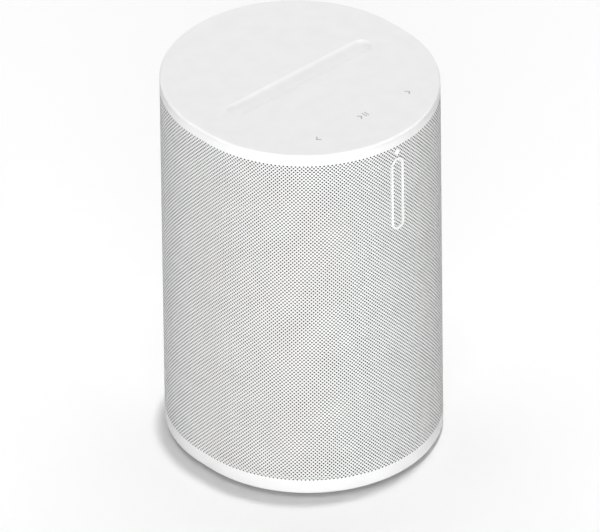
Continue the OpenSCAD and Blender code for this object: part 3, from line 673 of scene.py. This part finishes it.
materials = {
    "shell_white": plastic("moulded_white", grey(0.82), grey(0.845), 0.55),
    "control_white": plastic("control_white", grey(0.74), grey(0.78), 0.42),
    "icon_grey": plastic("icon_print", grey(0.42), grey(0.46), 0.5),
    "light_pipe": plastic("frosted_lens", grey(0.86), grey(0.9), 0.3, grain=3000),
    "liner_cloth": weave("liner_cloth", grey(0.02), grey(0.06), 2500),
    "base_grey": plastic("base_plastic", grey(0.60), grey(0.64), 0.6),
    "foot_rubber": rubber("foot_silicone", grey(0.34), grey(0.40)),
    "steel": metal("zinc_plated_steel", grey(0.55, 0.02), grey(0.68, 0.02), 0.34),
    "pin_metal": metal("nickel_plate", grey(0.66), grey(0.78), 0.2),
    "black_plastic": plastic("black_plastic", grey(0.02), grey(0.035), 0.5, grain=5000),
    "circuit_board": circuit_board("circuit_board"),
    "copper": metal("copper", (0.55, 0.27, 0.14), (0.72, 0.38, 0.2), 0.35),
    "seal_rubber": rubber("seal_rubber", grey(0.015), grey(0.03)),
    "foam": rubber("open_foam", grey(0.12), grey(0.2)),
    "cone_paper": plastic(
        "coated_paper", grey(0.02), grey(0.05), 0.75, grain=2500, depth=0.08 * MM, strength=0.5
    ),
    "spider_cloth": weave("spider_cloth", (0.45, 0.32, 0.14), (0.66, 0.52, 0.28), 1800),
    "ferrite": plastic("ferrite", grey(0.03), grey(0.06), 0.55, grain=1800, depth=0.06 * MM),
    "dome_metal": metal("dome_metal", grey(0.6), grey(0.72), 0.3),
    "motor_metal": metal("motor_metal", grey(0.2), grey(0.3), 0.4),
    "aluminium": metal("extruded_aluminium", grey(0.6), grey(0.7), 0.36),
    "sleeve_black": plastic("shrink_sleeve", grey(0.02), grey(0.04), 0.25, grain=2000),
    "lead_red": rubber("lead_insulation", (0.30, 0.02, 0.02), (0.42, 0.03, 0.03)),
}

for row in frame["record"]["subparts"]:
    cad = frame["nodes"][row["node"]]
    cad.data.materials.clear()
    cad.data.materials.append(materials[row["material_slot"]])

# ---------- the pieces ----------

# The walls of the holes are painted darker than the face. This is painted shade standing in for the shade
# inside the holes, so that the pattern reads as strongly as in the photo.
sleeve_white = sleeve_plastic("sleeve_white", grey(0.775), grey(0.80), 0.55)
hole_wall_painted_shade = sleeve_plastic("hole_wall_painted_shade", grey(0.16), grey(0.22), 0.7)
make_sleeve(sleeve_white, hole_wall_painted_shade)
make_top_cap(materials["shell_white"])
make_liner(materials["liner_cloth"])
make_damping_pad(materials["foam"])

# ---------- floor, light and camera ----------

FLOOR_HALF = 3.0


def make_floor():
    """Plain pale paper that the speaker stands on."""
    mesh = bpy.data.meshes.new("floor")
    corners = [(x * FLOOR_HALF, y * FLOOR_HALF, 0) for x, y in ((-1, -1), (1, -1), (1, 1), (-1, 1))]
    mesh.from_pydata(corners, [], [(0, 1, 2, 3)])
    floor = bpy.data.objects.new("floor", mesh)
    bpy.context.scene.collection.objects.link(floor)
    material, tree, shader = new_material("floor_paper")
    shader.inputs["Base Color"].default_value = (0.97, 0.97, 0.97, 1)
    shader.inputs["Roughness"].default_value = 0.9
    shader.inputs["Specular IOR Level"].default_value = 0.1
    mesh.materials.append(material)


# The camera's place: degrees round, above and about the view's own axis, then metres.
VIEW_AZIMUTH = -42.05
VIEW_ELEVATION = 34.24
VIEW_ROLL = -0.71
VIEW_DISTANCE = 10.0
FRAME_WIDTH_AT_OBJECT = 0.26834
AIM = Vector((0, 0, 0.0925))
AIM_RIGHT, AIM_UP = -0.89 * MM, -8.24 * MM


def towards(azimuth, elevation):
    """Unit vector from the object towards a place at that azimuth and elevation, in degrees."""
    a, e = math.radians(azimuth), math.radians(elevation)
    return Vector((math.sin(a) * math.cos(e), -math.cos(a) * math.cos(e), math.sin(e)))


def make_camera():
    """Long lens from the front left, slightly rolled, aimed near the speaker's middle."""
    back = towards(VIEW_AZIMUTH, VIEW_ELEVATION)
    level = Vector((math.cos(math.radians(VIEW_AZIMUTH)), math.sin(math.radians(VIEW_AZIMUTH)), 0))
    rise = back.cross(level)
    roll = math.radians(VIEW_ROLL)
    right = math.cos(roll) * level + math.sin(roll) * rise
    up = math.cos(roll) * rise - math.sin(roll) * level
    data = bpy.data.cameras.new("camera")
    data.sensor_width = 36
    data.lens = VIEW_DISTANCE / FRAME_WIDTH_AT_OBJECT * data.sensor_width
    data.clip_start, data.clip_end = 0.1, 100
    camera = bpy.data.objects.new("camera", data)
    bpy.context.scene.collection.objects.link(camera)
    place = AIM + right * AIM_RIGHT + up * AIM_UP + back * VIEW_DISTANCE
    camera.matrix_world = Matrix.Translation(place) @ Matrix((right, up, back)).transposed().to_4x4()
    bpy.context.scene.camera = camera


# Area lamps: name, azimuth and elevation in degrees, distance, width and height in metres, power in watts.
LAMPS = (
    ("key", VIEW_AZIMUTH, 4.5, 2.6, 1.4, 0.35, 52),
    ("left", VIEW_AZIMUTH - 75, 15, 2.6, 1.2, 1.2, 2),
    ("back", VIEW_AZIMUTH + 180, 73, 2.2, 2.4, 2.4, 35),
)
# The sun: name, azimuth, elevation and angular size in degrees, and strength.
SUN = ("sun", 110, 87.5, 1.8, 1.25)
# Heights at which the sky starts and ends its fade, as the sine of the elevation, and its two strengths.
HORIZON_BAND = (0.05, 0.2)
SKY_HORIZON, SKY_ZENITH = 0.95, 0.03


def area_light(name, azimuth, elevation, distance, width, height, power):
    """Soft lamp that faces the middle of the object."""
    data = bpy.data.lights.new(name, "AREA")
    data.shape = "RECTANGLE"
    data.size, data.size_y = width, height
    data.energy = power
    lamp = bpy.data.objects.new(name, data)
    bpy.context.scene.collection.objects.link(lamp)
    lamp.visible_camera = False
    back = towards(azimuth, elevation)
    lamp.location = AIM + back * distance
    lamp.rotation_mode = "QUATERNION"
    lamp.rotation_quaternion = (-back).to_track_quat("-Z", "Y")


def sun_light(name, azimuth, elevation, spread_degrees, strength):
    """Distant lamp, which gives the crisp shadow that the shell's edge throws on the floor."""
    data = bpy.data.lights.new(name, "SUN")
    data.angle = math.radians(spread_degrees)
    data.energy = strength
    lamp = bpy.data.objects.new(name, data)
    bpy.context.scene.collection.objects.link(lamp)
    lamp.rotation_mode = "QUATERNION"
    lamp.rotation_quaternion = (-towards(azimuth, elevation)).to_track_quat("-Z", "Y")


def make_world(horizon, zenith):
    """Pale band round the horizon, which fades to a darker sky overhead."""
    world = bpy.data.worlds.new("studio")
    world.use_nodes = True
    tree = world.node_tree
    background = tree.nodes["Background"]
    background.inputs["Color"].default_value = (1, 1, 1, 1)
    direction = tree.nodes.new("ShaderNodeTexCoord")
    split = tree.nodes.new("ShaderNodeSeparateXYZ")
    fade = tree.nodes.new("ShaderNodeMapRange")
    sockets = ("From Min", "From Max", "To Min", "To Max")
    for socket, value in zip(sockets, (*HORIZON_BAND, horizon, zenith)):
        fade.inputs[socket].default_value = value
    tree.links.new(direction.outputs["Generated"], split.inputs["Vector"])
    tree.links.new(split.outputs["Z"], fade.inputs["Value"])
    tree.links.new(fade.outputs["Result"], background.inputs["Strength"])
    bpy.context.scene.world = world


def make_light():
    """Three lamps, the sun and the sky."""
    for lamp in LAMPS:
        area_light(*lamp)
    sun_light(*SUN)
    make_world(SKY_HORIZON, SKY_ZENITH)
    bpy.context.scene.view_settings.view_transform = "Standard"


make_floor()
make_camera()
make_light()
